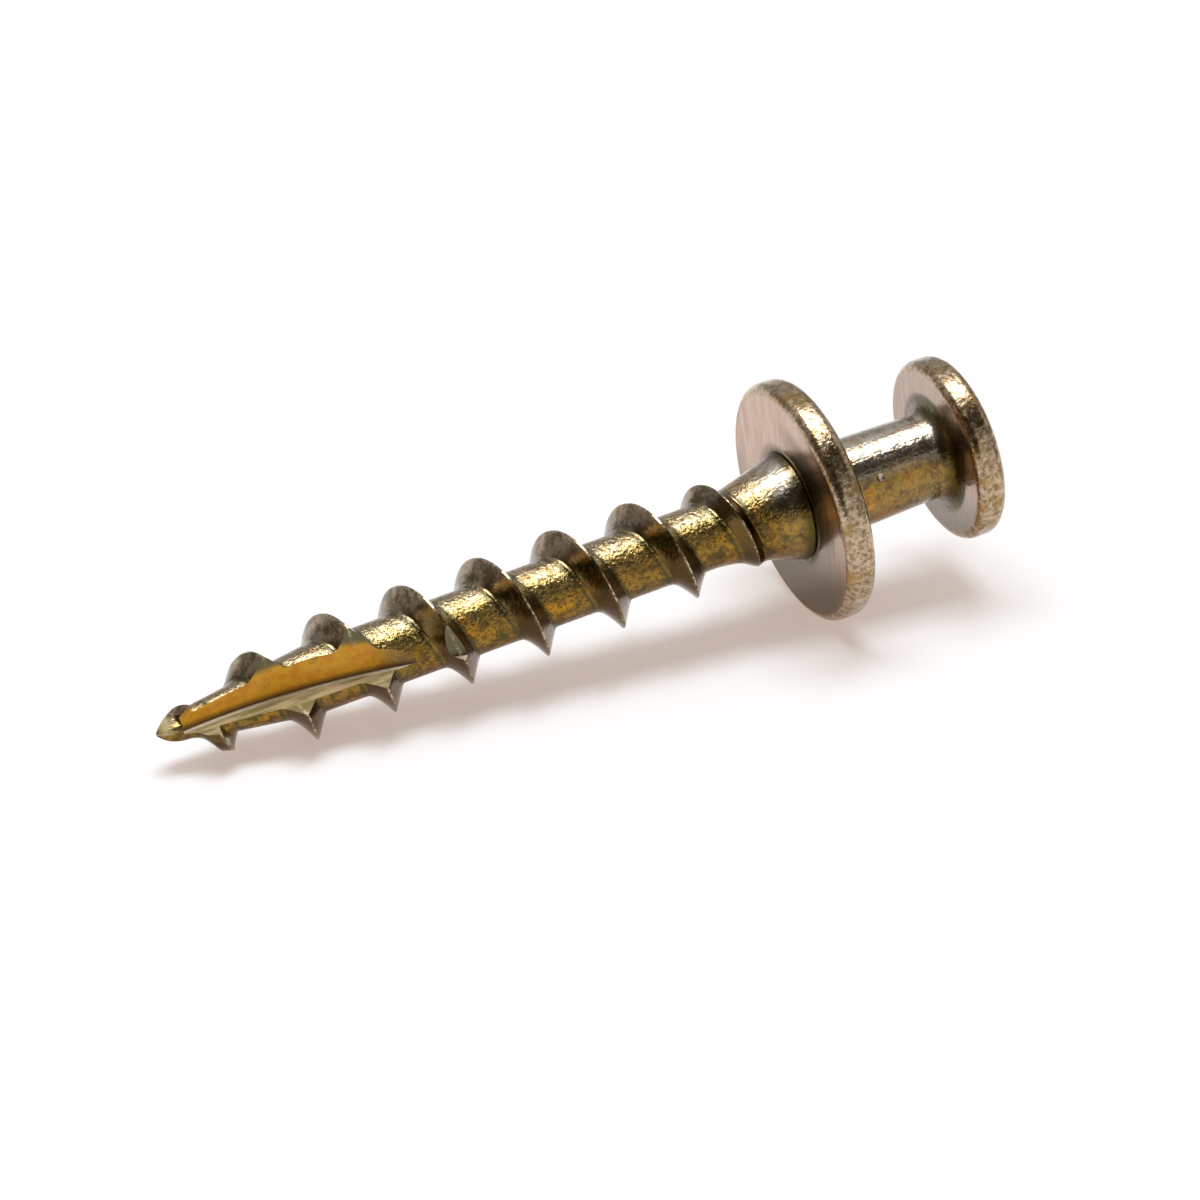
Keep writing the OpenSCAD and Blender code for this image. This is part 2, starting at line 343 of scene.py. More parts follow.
turned_points, turned_faces = spun(section)
print("turned part:", len(turned_points), "points,", len(turned_faces), "faces")

# %% Join both into one closed skin
WELD = 1e-5                       # mm, points nearer than this become one


def close_ends(mesh_edit):
    """Caps every open ring with a fan of triangles round a pole at the ring's middle."""
    rim_edges = [edge for edge in mesh_edit.edges if edge.is_boundary]
    caps = bmesh.ops.holes_fill(mesh_edit, edges=rim_edges, sides=0)["faces"]
    bmesh.ops.poke(mesh_edit, faces=caps)


def skin_object(name, points, faces, cap=False):
    """A mesh object of standing points in mm, welded where points fall together."""
    mesh = bpy.data.meshes.new(name)
    mesh.from_pydata(points, [], faces)
    edit = bmesh.new()
    edit.from_mesh(mesh)
    bmesh.ops.remove_doubles(edit, verts=edit.verts, dist=WELD)
    if cap:
        close_ends(edit)
    bmesh.ops.recalc_face_normals(edit, faces=edit.faces)
    edit.to_mesh(mesh)
    edit.free()
    obj = bpy.data.objects.new(name, mesh)
    bpy.context.scene.collection.objects.link(obj)
    return obj


screw = skin_object("plated_screw", np.concatenate([shank_points, turned_points]),
                    np.concatenate([shank_faces, turned_faces + len(shank_points)]).tolist(),
                    cap=True)
print("skin:", len(screw.data.vertices), "points,", len(screw.data.polygons), "faces")

# %% [markdown]
# ## The slot in the point and the cross recess
# A disc cutter ran in just behind the point. It left a flat wall through the axis and a long
# round floor, so that the screw clears its own hole. The driver's recess was punched. Both
# are cut here with closed cutters whose walls are fine grids, so that the cut faces carry
# enough points for the marks of the plating.

# %% Shape the slot's cutter
CUTTER_R, SLOT_FLOOR, SLOT_DEEPEST = 31.7, 0.24, 3.7
SLOT_START, CUTTER_END, CUTTER_WIDE = 1.2, 19.0, 5.2     # mm; the last two lie in the open
SLOT_ROWS, SLOT_COLUMNS, TOWARDS_CORNER = 147, 34, 1.2   # the power draws points together


def slot_floor(z):
    """Distance of the slot's floor from the axis: floor + R - sqrt(R^2 - (z - deepest)^2)."""
    past = np.minimum(np.abs(z - SLOT_DEEPEST), CUTTER_R)
    return SLOT_FLOOR + CUTTER_R - np.sqrt(CUTTER_R ** 2 - past ** 2)


def lofted(rings):
    """Closed solid from equal rings of points, an array (rings, points, 3): sides between
    neighbours, a flat cap at each end."""
    count, around = rings.shape[:2]
    number = np.arange(count * around).reshape(count, around)
    sides = sheet_faces(np.concatenate([number, number[:, :1]], axis=1))
    caps = [number[0, ::-1].tolist(), number[-1].tolist()]
    return rings.reshape(-1, 3), sides.tolist() + caps


def slot_cutter():
    """Rings of a triangle in x and y at each height: its wall lies on y = 0, its floor on
    x = slot_floor(z), and its third side is far outside the metal."""
    z = np.linspace(SLOT_START, CUTTER_END, SLOT_ROWS)[:, None]
    near = slot_floor(z)
    along = np.linspace(0.0, 1.0, SLOT_COLUMNS)[None, :] ** TOWARDS_CORNER
    level = np.zeros((SLOT_ROWS, SLOT_COLUMNS))
    wall = np.stack([near + (CUTTER_WIDE - near) * along, level, z + level], axis=-1)
    floor = np.stack([near + level, -CUTTER_WIDE * (1 - along) + level, z + level], axis=-1)
    return lofted(np.concatenate([wall, floor[:, :-1]], axis=1))


print("slot's floor at 2, 8 and 12 mm:",
      [round(float(slot_floor(z)), 3) for z in (2.0, 8.0, 12.0)])

# %% Shape the recess's cutter
RECESS_DEPTH, RECESS_ABOVE = 2.3, 0.3                # mm, into the head and past its face
WING_WIDTH, WING_AT_FLOOR, CORE_AT_FLOOR = 1.0, 1.188, 0.55
WING_AT_TOP, CORE_AT_TOP = 2.25, 1.32                # mm from the middle, past the face
RECESS_RINGS = 14


def recess_outline(wing, core):
    """One turn of a cross in polar form: the wing's end on a circle, its straight side at
    half a wing's width, then the core's circle, mirrored and repeated four times."""
    half, eighth, quarter = WING_WIDTH / 2, math.pi / 4, math.pi / 2
    tip = math.asin(half / wing)
    root = min(math.asin(min(1.0, half / core)), eighth)
    a = np.concatenate([np.linspace(0, tip, 5), np.linspace(tip, root, 9)[1:],
                        np.linspace(root, eighth, 5)[1:]])
    side = half / np.sin(np.maximum(a, 1e-6))
    radius = np.where(a <= tip, wing, np.where(a <= root, side, core))
    a = np.concatenate([a, quarter - a[-2:0:-1]])
    radius = np.tile(np.concatenate([radius, radius[-2:0:-1]]), 4)
    angle = (a[None, :] + np.arange(4)[:, None] * quarter).ravel()
    return np.stack([radius * np.cos(angle), radius * np.sin(angle)], axis=1)


def recess_cutter():
    """The cross outline at heights from its floor to just above the head, its wings and its
    core growing evenly wider."""
    rings = []
    for share in np.linspace(0, 1, RECESS_RINGS):
        ring = recess_outline(WING_AT_FLOOR + (WING_AT_TOP - WING_AT_FLOOR) * share,
                              CORE_AT_FLOOR + (CORE_AT_TOP - CORE_AT_FLOOR) * share)
        z = LENGTH - RECESS_DEPTH + (RECESS_DEPTH + RECESS_ABOVE) * share
        rings.append(np.column_stack([ring, np.full(len(ring), z)]))
    return lofted(np.stack(rings))


print("recess:", len(recess_outline(WING_AT_TOP, CORE_AT_TOP)), "points round each ring")

# %% Cut them out of the skin
def cut(target, name, points, faces):
    """Takes a cutter out of the target with an exact difference, and drops the cutter."""
    cutter = skin_object(name, points, faces)
    step = target.modifiers.new(name, "BOOLEAN")
    step.operation, step.solver, step.object = "DIFFERENCE", "EXACT", cutter
    done = bpy.data.meshes.new_from_object(
        target.evaluated_get(bpy.context.evaluated_depsgraph_get()))
    target.modifiers.remove(step)
    old, target.data = target.data, done
    bpy.data.meshes.remove(old)
    bpy.data.objects.remove(cutter)


cut(screw, "slot_cutter", *slot_cutter())
cut(screw, "recess_cutter", *recess_cutter())
screw.data.name = "plated_screw"
print("after cutting:", len(screw.data.vertices), "points,", len(screw.data.polygons), "faces")

# %% [markdown]
# ## Marks for the finish
# The plating does not look the same everywhere: the pressed faces are pale and satin, the rims
# are speckled, the slot's floor is deep orange and the crests are rubbed bright. Each of these
# zones is stored on the points of the skin as a value from 0 to 1, worked out from the standing
# screw's own coordinates, so that the material can mix its colours by them. A few go by the
# side that looks up or to the front as the screw lies. Some zones paint light and shade: the side
# that looks up is paler as a painted highlight and the side that looks down browner as painted
# shade; the lower pressed faces, the rings round the discs, the roots and the slot's corner are
# darker as painted shade, with a painted dark reflection of the collar on the flange; the nose
# and a line beside the slot's corner are painted highlights.
# Painting them by hand would do as well, but numbers are easier to move.

# %% Helpers for the zones
UP, TO_FRONT, UP_AND_BACK = (0.0, -1.0), (1.0, 0.0), (-0.5, -0.87)   # x, y while standing
NO_AXIS = 0.1                     # mm, the least radius that a direction is taken from


def read_vectors(items, what):
    """A three-number property of all points or faces as one array."""
    flat = np.empty(len(items) * 3)
    items.foreach_get(what, flat)
    return flat.reshape(-1, 3)


def store(mesh, zones, domain="POINT"):
    """Writes each zone as a named attribute, one number per point or face."""
    for name, values in zones.items():
        layer = mesh.attributes.new(name, "FLOAT", domain)
        layer.data.foreach_set("value", np.asarray(values, dtype=np.float32))
    print("zones, and the mean of each:",
          {name: round(float(np.mean(values)), 3) for name, values in zones.items()})


def smooth_step(value, low, high):
    """0 below low, 1 above high, and 3t^2 - 2t^3 between."""
    t = unit((value - low) / (high - low))
    return t * t * (3 - 2 * t)


def bell(value, middle, width):
    """1 at the middle, dying out on both sides: exp(-((value - middle) / width)^2)."""
    return np.exp(-((value - middle) / width) ** 2)


def looks(p, direction):
    """How far a place round the axis looks in a direction: (x dx + y dy) / radius."""
    r = np.hypot(p[:, 0], p[:, 1])
    return (p[:, 0] * direction[0] + p[:, 1] * direction[1]) / np.maximum(r, NO_AXIS)


standing = read_vectors(screw.data.vertices, "co")
print("points that look up:", int((looks(standing, UP) > 0.5).sum()))

# %% Zones of the thread
CREST_WEAR = 0.045                # mm, width of the rubbed line along a crest
RIDGE_FROM, RIB = 0.1, (0.15, 0.5)                   # mm above the core
RIDGE_END, ROOTS = 33.0, (2.0, 32.5)                 # mm from the point
ROOT_TO_HEAD = (FLANK_TO_HEAD + 0.01, 0.022)         # shares of the pitch: place, width
ROOT_TO_POINT = (1 - FLANK_TO_POINT - 0.005, 0.03)
# the sides that are painted paler as highlight, on the core and on the ridge
HIGHLIGHT_SIDE, TOP, DOMED = (0.35, 0.85), (0.78, 0.96), (0.45, 0.85)   # how far it looks there


def thread_zones(p):
    """A bell across each crest and each root, by the share of the pitch; the ridge and its
    ribs by their height over the core."""
    z, r = p[:, 2], np.hypot(p[:, 0], p[:, 1])
    angle = np.degrees(np.arctan2(p[:, 1], p[:, 0])) - CREST_START
    share = loosened(z) / PITCH - angle / 360
    share = share - np.floor(share)
    from_crest = np.minimum(share, 1 - share) * PITCH
    core = core_radius(z)
    foot = core + RIDGE_FROM
    ridge = (z < RIDGE_END) & (crest_radius(z) > foot) & (r > foot)
    root = np.maximum(bell(share, *ROOT_TO_HEAD), bell(share, *ROOT_TO_POINT))
    return {
        "flank": ridge * 1.0,
        "crest": ridge * bell(from_crest, 0.0, CREST_WEAR),
        "root": root * (z > ROOTS[0]) * (z < ROOTS[1]),
        "rib": smooth_step(r, core + RIB[0], core + RIB[1]),
    }


def side_zones(p):
    """The sides that look up, and up and back, as the screw lies, where highlight is painted paler.
    """
    return {
        "painted_light_side": smooth_step(looks(p, UP), *HIGHLIGHT_SIDE),
        "top": smooth_step(looks(p, UP), *TOP),
        "dome": smooth_step(looks(p, UP_AND_BACK), *DOMED),
    }


store(screw.data, thread_zones(standing))
store(screw.data, side_zones(standing))

# %% Zones of the point and the slot
TIP = (0.9, 1.9)                  # mm from the point, where the calm tip runs out
# a painted highlight on the nose's upper side
NOSE_HIGHLIGHT_FROM, NOSE_HIGHLIGHT_TO = (0.08, 0.25), (0.6, 0.85)       # mm from the point
NOSE_HIGHLIGHT_SIDE, NOSE_HIGHLIGHT = (0.1, 0.5), 0.7                    # how far it looks up, how strong its painted highlight is
FLOOR_FADES, FLOOR_LOSS = (10.8, 12.8), 0.8          # mm from the point, share lost there
# painted shade in the corner of the slot's floor, and a painted highlight line on the wall beside
# it
CORNER, CORNER_SHADE_DARKNESS = (-0.3, -0.1), 0.95             # mm beside the slot's wall
EDGE_HIGHLIGHT_PLACE = (0.16, 0.1)                           # mm from the floor: place, width
ON_WALL, ON_FLOOR = 1e-3, 5e-3    # mm, how near a face's middle lies
WALL_LOOKS, FLOOR_LOOKS = 0.99, 0.7                  # least share of its normal
SLOT_END = 18.0                   # mm from the point, past all that the cutter touched


def point_zones(p):
    """The calm tip by its height, and a painted highlight on its upper side."""
    z = p[:, 2]
    painted_nose_light = NOSE_HIGHLIGHT * smooth_step(z, *NOSE_HIGHLIGHT_FROM) * (1 - smooth_step(z, *NOSE_HIGHLIGHT_TO))
    return {
        "tip": 1 - smooth_step(z, *TIP),
        "nose_highlight": painted_nose_light * smooth_step(looks(p, UP), *NOSE_HIGHLIGHT_SIDE),
    }


def slot_zones(p):
    """How deep in the slot, painted shade near the corner of its floor, and a painted highlight
    line beside it.
    """
    return {
        "slot_deep": 1 - FLOOR_LOSS * smooth_step(p[:, 2], *FLOOR_FADES),
        "corner": CORNER_SHADE_DARKNESS * smooth_step(p[:, 1], *CORNER),
        "streak": bell(p[:, 0] - slot_floor(p[:, 2]), *EDGE_HIGHLIGHT_PLACE),
    }


def slot_faces(mesh):
    """A face is on the wall where y = 0 and it looks along -y, and on the floor where x is
    the floor's distance and it looks along x."""
    c, n = read_vectors(mesh.polygons, "center"), read_vectors(mesh.polygons, "normal")
    near_point = c[:, 2] < SLOT_END
    wall = (np.abs(c[:, 1]) < ON_WALL) & (n[:, 1] < -WALL_LOOKS)
    floor = (np.abs(c[:, 0] - slot_floor(c[:, 2])) < ON_FLOOR) & (n[:, 0] > FLOOR_LOOKS) \
        & (c[:, 1] < 0)
    return {"slot_wall": wall & near_point, "slot_floor": floor & near_point}


store(screw.data, point_zones(standing))
store(screw.data, slot_zones(standing))
cut_marks = slot_faces(screw.data)
store(screw.data, cut_marks, "FACE")
print("faces on the slot's wall and floor:", [int(mark.sum()) for mark in cut_marks.values()])

# %% Zones of the discs and the neck
SKIN = 0.01                       # mm, how near a face a point counts as on it
RIM_FROM, RIM_FULL = 0.05, 0.3    # mm inside the rounding, mm inside the edge
FLAT_UNDER_HEAD = NECK_HIGH_R + HIGH_FILLET - 0.05   # mm from the axis
NECK_FROM, COLLAR_FROM = (FLANGE_BACK, FLANGE_BACK + 0.7), (32.5, 34.0)
# painted shade: the pressed faces greyer the lower they lie, and the head's face greyer all over
LOW, LOW_SHADE, HEAD_SHADE = (-2.0, 4.0), 0.9, 0.3   # mm down from the axis; how grey


def rim_zone(z, r):
    """Rises from just inside the rounding of each disc towards its edge."""
    rim = np.zeros(len(r))
    for starts, ends, edge, rounding in (
            (FLANGE_FACE, FLANGE_BACK, FLANGE_R, FLANGE_ROUND),
            (HEAD_FACE, LENGTH, HEAD_R, HEAD_ROUND)):
        on_disc = (z > starts - SKIN) & (z < ends + SKIN)
        rim = np.where(on_disc, smooth_step(r, edge - rounding - RIM_FROM, edge - RIM_FULL), rim)
    return rim


def disc_zones(p):
    """Rims by their radius, pressed faces by height and radius, the neck and the collar by
    height; on the pressed faces shade is painted, greyer the lower they lie and on the head's face."""
    z, r = p[:, 2], np.hypot(p[:, 0], p[:, 1])
    rim = rim_zone(z, r)
    on_flange = (z > FLANGE_FACE - SKIN) & (z < FLANGE_BACK + SKIN)
    on_head = z > HEAD_FACE - SKIN
    flat = on_flange & (r > COLLAR_R + SKIN) | on_head & (r > FLAT_UNDER_HEAD) \
        | (z > LENGTH - SKIN)
    neck = smooth_step(z, *NECK_FROM) * (z < HEAD_FACE + SKIN)
    collar = smooth_step(z, *COLLAR_FROM) * (z < FLANGE_FACE - SKIN)
    return {
        "rim": rim,
        "pressed": np.where(flat, 1 - rim, 0),
        "neck": np.maximum(neck, collar),
        "low": np.maximum(LOW_SHADE * smooth_step(p[:, 1], *LOW), HEAD_SHADE * on_head),
    }


store(screw.data, disc_zones(standing))

# %% The painted shade ring, and laying the screw down
# painted shade round the collar and under the head, and a painted dark reflection of the collar on
# the flange
RING_PAINTED_SHADE = 0.88                      # how dark it is
EDGE = 0.05                       # mm, what still counts as the flange's face
NARROW = (COLLAR_R, COLLAR_R + 0.5)                  # mm from the axis
WIDE, WIDE_SIDE, WIDE_SHARE = (4.4, 5.2), (-0.3, 0.6), 0.85   # mm; how far to the front
WIDE_LOW = (-1.0, 2.0)            # mm down from the axis, where the wide stain ends
COLLAR_RING = (34.2, 34.8)        # mm from the point
UNDER_HEAD, HOLLOW_R = (HEAD_FACE - 0.8, HEAD_FACE - 0.3), (3.05, 3.3)
SHARP = 32.0                      # degrees, edges that turn further stay sharp


def painted_shade_ring_zone(p):
    """Painted shade where a disc meets what it grew from: the collar's end, a narrow ring on the
    flange, and the hollow under the head; with a wider painted dark reflection of the collar on
    the flange to the front."""
    z, r = p[:, 2], np.hypot(p[:, 0], p[:, 1])
    before = z < FLANGE_FACE + EDGE
    narrow = before * (1 - smooth_step(r, *NARROW))
    wide = before * WIDE_SHARE * smooth_step(looks(p, TO_FRONT), *WIDE_SIDE) \
        * (1 - smooth_step(r, *WIDE)) * (1 - smooth_step(p[:, 1], *WIDE_LOW))
    hollow = (z < HEAD_FACE + SKIN) * smooth_step(z, *UNDER_HEAD) \
        * (1 - smooth_step(r, *HOLLOW_R))
    on_discs = np.maximum(narrow, np.maximum(wide, hollow))
    return {"ring": RING_PAINTED_SHADE * np.where(z < FLANGE_FACE - EDGE, smooth_step(z, *COLLAR_RING),
                                     on_discs)}


store(screw.data, painted_shade_ring_zone(standing))
screw.data.vertices.foreach_set("co", lay_down(standing).ravel())
screw.data.shade_smooth()
screw.data.set_sharp_from_angle(angle=math.radians(SHARP))
screw.data.update()
print("the screw lies; lowest point:", round(float(lay_down(standing)[:, 2].min() / MM), 4), "mm")

# %% [markdown]
# ## Yellow plating on steel
# Zinc plate with a yellow passivation is a thin golden film with a drift of olive, orange and
# brown, over steel whose skin is dented by the rolls. The film is metallic, under a thin clear
# coat that is thickest on the neck. A picture of such a film could be wrapped round the screw,
# but it would blur up close and show its seams, so the drift comes from soft noise, the dents
# from a bump, and the zones choose how much of each. The cut faces are duller: they are given
# less metal and more roughness.

# %% Small helpers for node trees
def make(tree, kind, values=None, **settings):
    """A new node with its settings, and each input set to a value or linked to a socket."""
    node = tree.nodes.new("ShaderNode" + kind)
    for name, value in settings.items():
        setattr(node, name, value)
    for key, value in (values or {}).items():
        if isinstance(value, bpy.types.NodeSocket):
            tree.links.new(value, node.inputs[key])
        else:
            node.inputs[key].default_value = value
    return node


def blend(tree, share, low, high):
    """Colour low where share is 0, high where it is 1. The node's inputs 6 and 7 are its
    two colours, and its output 2 is the mixed one."""
    return make(tree, "Mix", {0: share, 6: low, 7: high}, data_type="RGBA").outputs[2]


def calc(tree, operation, first, second):
    """One step of arithmetic on two values."""
    return make(tree, "Math", {0: first, 1: second}, operation=operation).outputs[0]


def times(tree, first, second):
    """The product of two values."""
    return calc(tree, "MULTIPLY", first, second)


def without(tree, mask, amount=1.0):
    """What a mask leaves: 1 - amount x mask."""
    return calc(tree, "SUBTRACT", 1.0, times(tree, mask, amount))


def between(tree, value, low, high, to_low=0.0, to_high=1.0):
    """The value mapped smoothly from low..high to to_low..to_high, held at both ends."""
    return make(tree, "MapRange", {0: value, 1: low, 2: high, 3: to_low, 4: to_high},
                interpolation_type="SMOOTHSTEP").outputs[0]


def zone(tree, name):
    """A zone stored on the skin."""
    return make(tree, "Attribute", attribute_name=name).outputs["Fac"]


def noise(tree, where, grains, detail, rough):
    """Soft noise with so many grains to a millimetre."""
    return make(tree, "TexNoise", {"Vector": where, "Scale": grains, "Detail": detail,
                                   "Roughness": rough}).outputs["Fac"]


# %% Colours of the film and patterns of its drift
GOLD = (0.31, 0.18, 0.028, 1)
ORANGE = (0.55, 0.24, 0.007, 1)
OLIVE = (0.065, 0.050, 0.010, 1)
BROWN = (0.13, 0.078, 0.02, 1)
# painted highlight: paler colours where the core and the neck look up, towards the lamp
HIGHLIGHT_GOLD = (0.46, 0.35, 0.13, 1)      # the core where it looks up
HIGHLIGHT_TOP_PALE = (0.40, 0.325, 0.205, 1)     # the core at its very top
NECK_HIGHLIGHT_PALE = (0.50, 0.46, 0.40, 1)
RIDGE_BROWN = (0.085, 0.054, 0.018, 1)
# painted highlight: the ridge is lighter grey where it looks up and back
DOME_HIGHLIGHT = (0.29, 0.215, 0.155, 1)         # the ridge where it looks up and back
DOME_DARK = (0.05, 0.034, 0.02, 1)
ROOT_GREEN_SHADE = (0.055, 0.055, 0.022, 1)
PALE = (0.45, 0.31, 0.235, 1)          # pressed faces
PINK = (0.58, 0.40, 0.31, 1)
FACE_SHADE = (0.095, 0.072, 0.038, 1)
RIM_LIGHT = (0.60, 0.46, 0.33, 1)
RIM_DARK = (0.20, 0.14, 0.065, 1)
SLOT_ORANGE = (1.0, 0.49, 0.014, 1)
SLOT_AMBER = (0.90, 0.35, 0.008, 1)
SLOT_GREEN = (0.19, 0.155, 0.05, 1)
SLOT_PALE = (0.40, 0.31, 0.17, 1)
SLOT_CORNER_SHADE = (0.09, 0.042, 0.008, 1)
EDGE_HIGHLIGHT = (0.95, 0.85, 0.68, 1)
NOSE_HIGHLIGHT_PALE = (0.78, 0.65, 0.34, 1)
BRIGHT = (0.72, 0.62, 0.44, 1)         # rubbed crests

# grains to a mm, detail and roughness of the noise; its values at both ends; the ends' values
PATTERNS = {
    "orange drift": (0.75, 3.0, 0.60, 0.46, 0.72, 0.00, 1.00),
    "olive drift": (1.30, 5.0, 0.70, 0.46, 0.66, 0.00, 1.00),
    "brown and painted shade below": (3.00, 4.0, 0.70, 0.42, 0.60, 0.05, 0.85),
    "painted highlight above": (2.00, 3.0, 0.60, 0.35, 0.60, 0.45, 1.00),
    "olive flecks as dent shade": (6.00, 3.0, 0.70, 0.53, 0.64, 0.00, 0.80),
    "dome clouds": (1.30, 5.0, 0.75, 0.42, 0.58, 0.00, 1.00),
    "rim speckle": (3.50, 5.0, 0.72, 0.36, 0.62, 0.00, 1.00),
    "rim gold": (0.60, 3.0, 0.60, 0.50, 0.66, 0.00, 0.70),
    "combed lines": (4.00, 3.0, 0.60, 0.35, 0.65, 0.00, 1.00),
    "slot green": (0.75, 3.0, 0.60, 0.58, 0.80, 0.00, 1.00),
    "slot clouds": (2.00, 4.0, 0.70, 0.40, 0.62, 0.00, 1.00),
    "wall streaks": (3.00, 3.0, 0.60, 0.42, 0.60, 0.00, 1.00),
    "edge highlight breaks": (3.00, 3.0, 0.60, 0.30, 0.50, 0.30, 1.00),
    "rubbed crest": (5.00, 2.0, 0.60, 0.45, 0.60, 0.10, 0.90),
    "roughness": (5.00, 2.0, 0.60, 0.30, 0.70, 0.14, 0.24),
}


def pattern(tree, where, name):
    """A named pattern: soft noise, mapped smoothly from its range to its ends."""
    grains, detail, rough, low, high, to_low, to_high = PATTERNS[name]
    return between(tree, noise(tree, where, grains, detail, rough), low, high, to_low, to_high)


print(len(PATTERNS), "patterns for the film")

# %% Where the patterns are read
LONG_GRAIN = 0.12                 # scale along a grain, which draws it out eightfold


def pattern_places(tree):
    """Object coordinates in millimetres, tipped back so that the axis lies along Z; the same
    with grains drawn out along the axis; the same with grains combed across it."""
    place = make(tree, "TexCoord").outputs["Object"]
    own = make(tree, "Mapping", {"Vector": place, "Scale": (1 / MM, 1 / MM, 1 / MM),
                                 "Rotation": (0, -math.radians(90 - AXIS_RISE), 0)}
               ).outputs["Vector"]
    drawn, combed = (make(tree, "Mapping", {"Vector": own, "Scale": scale}).outputs["Vector"]
                     for scale in ((1, 1, LONG_GRAIN), (LONG_GRAIN, 1, 1)))
    return own, drawn, combed


PIT = (2.06, -1.11, 39.21)        # mm on the standing screw, a small dent in the neck
PIT_CORE, PIT_EDGE = 0.08, 0.24   # mm from its middle


def pit_zone(tree, own):
    """1 in the pit, 0 outside it, by the distance from its middle."""
    middle = turn_about("Y", AXIS_RISE - 90) @ (lay_down(np.array(PIT)) / MM)
    away = make(tree, "VectorMath", {0: own, 1: tuple(middle)},
                operation="DISTANCE").outputs["Value"]
    return between(tree, away, PIT_CORE, PIT_EDGE, 1.0, 0.0)


# %% The film, layer by layer
NECK_SHADE_SPARED = 0.2                  # share of the brown that the neck is spared
RIDGE_COVER, ROOT_COVER, RIM_COVER = 0.8, 0.85, 0.9


def film_colour(tree, own):
    """Gold with orange and olive drifts, browner where it looks down as painted shade, paler where
    it looks up as painted highlight, with olive flecks on the bare core as the painted shade of
    small dents."""
    neck, painted_light_side = zone(tree, "neck"), zone(tree, "painted_light_side")
    colour = blend(tree, pattern(tree, own, "orange drift"), GOLD, ORANGE)
    colour = blend(tree, pattern(tree, own, "olive drift"), colour, OLIVE)
    shaded_browner = times(tree, without(tree, painted_light_side), without(tree, neck, NECK_SHADE_SPARED))
    colour = blend(tree, times(tree, shaded_browner, pattern(tree, own, "brown and painted shade below")), colour, BROWN)
    core_highlight = blend(tree, zone(tree, "top"), HIGHLIGHT_GOLD, HIGHLIGHT_TOP_PALE)
    colour = blend(tree, times(tree, painted_light_side, pattern(tree, own, "painted highlight above")), colour,
                   blend(tree, neck, core_highlight, NECK_HIGHLIGHT_PALE))
    bare_core = without(tree, calc(tree, "MAXIMUM", neck, zone(tree, "flank")))
    return blend(tree, times(tree, pattern(tree, own, "olive flecks as dent shade"), bare_core), colour, OLIVE)


def ridge_colour(tree, own):
    """Brown, and lighter grey with dark clouds where the ridge looks up and back, as painted
    highlight.
    """
    clouds = blend(tree, pattern(tree, own, "dome clouds"), DOME_DARK, DOME_HIGHLIGHT)
    return blend(tree, zone(tree, "dome"), RIDGE_BROWN, clouds)


def rim_colour(tree, own):
    """Light and dark speckle with a drift of gold."""
    speckle = blend(tree, pattern(tree, own, "rim speckle"), RIM_DARK, RIM_LIGHT)
    return blend(tree, pattern(tree, own, "rim gold"), speckle, GOLD)


def pressed_colour(tree, combed):
    """Pale pink combed lines, with painted shade below."""
    lines = blend(tree, pattern(tree, combed, "combed lines"), PALE, PINK)
    return blend(tree, zone(tree, "low"), lines, FACE_SHADE)


def slot_floor_colour(tree, own):
    """Orange and amber clouds with a drift of green."""
    clouds = blend(tree, pattern(tree, own, "slot clouds"), SLOT_ORANGE, SLOT_AMBER)
    return blend(tree, pattern(tree, own, "slot green"), clouds, SLOT_GREEN)


def layers(tree, own, drawn, combed):
    """What covers the film, from the first to the last: a zone and its colour each."""
    wall, floor = zone(tree, "slot_wall"), zone(tree, "slot_floor")
    highlight_beside_corner = times(tree, wall, zone(tree, "streak"))
    return (
        (times(tree, zone(tree, "flank"), RIDGE_COVER), ridge_colour(tree, own)),
        # the roots: the film's green tint, darkened as painted shade in the crease
        (times(tree, zone(tree, "root"), ROOT_COVER), ROOT_GREEN_SHADE),
        (times(tree, zone(tree, "rim"), RIM_COVER), rim_colour(tree, own)),
        (zone(tree, "pressed"), pressed_colour(tree, combed)),
        # painted shade and painted dark reflection round the discs
        (zone(tree, "ring"), OLIVE),
        (times(tree, floor, zone(tree, "slot_deep")), slot_floor_colour(tree, own)),
        (times(tree, floor, zone(tree, "rib")), SLOT_GREEN),
        # painted shade in the slot's corner
        (times(tree, floor, zone(tree, "corner")), SLOT_CORNER_SHADE),
        (wall, blend(tree, pattern(tree, drawn, "wall streaks"), SLOT_PALE, SLOT_GREEN)),
        # painted highlight line beside the slot's corner
        (times(tree, highlight_beside_corner, pattern(tree, drawn, "edge highlight breaks")), EDGE_HIGHLIGHT),
        # the pit takes the pale colour of the neck's painted highlight
        (pit_zone(tree, own), NECK_HIGHLIGHT_PALE),
        # painted highlight on the nose
        (zone(tree, "nose_highlight"), NOSE_HIGHLIGHT_PALE),
        (times(tree, zone(tree, "crest"), pattern(tree, own, "rubbed crest")), BRIGHT),
    )


# %% Dents of the skin
DENTS, FINE_DENTS = (1.5, 3.0, 0.55), (5.0, 3.0, 0.6)    # grains to a mm, detail, roughness
FINE_SHARE = 0.75                 # height of the fine dents against the coarse ones
DRAWN_LINES, LINES_SHARE = (5.0, 2.0, 0.5), 0.2          # along the neck
CALM = {"pressed": 0.93, "neck": 0.6, "flank": 0.82, "rim": 0.6, "tip": 0.8}
CUT_CALM, PIT_DEPTH = 0.8, 0.9    # shares of the full height
DENT_DEPTH = 0.09 * MM


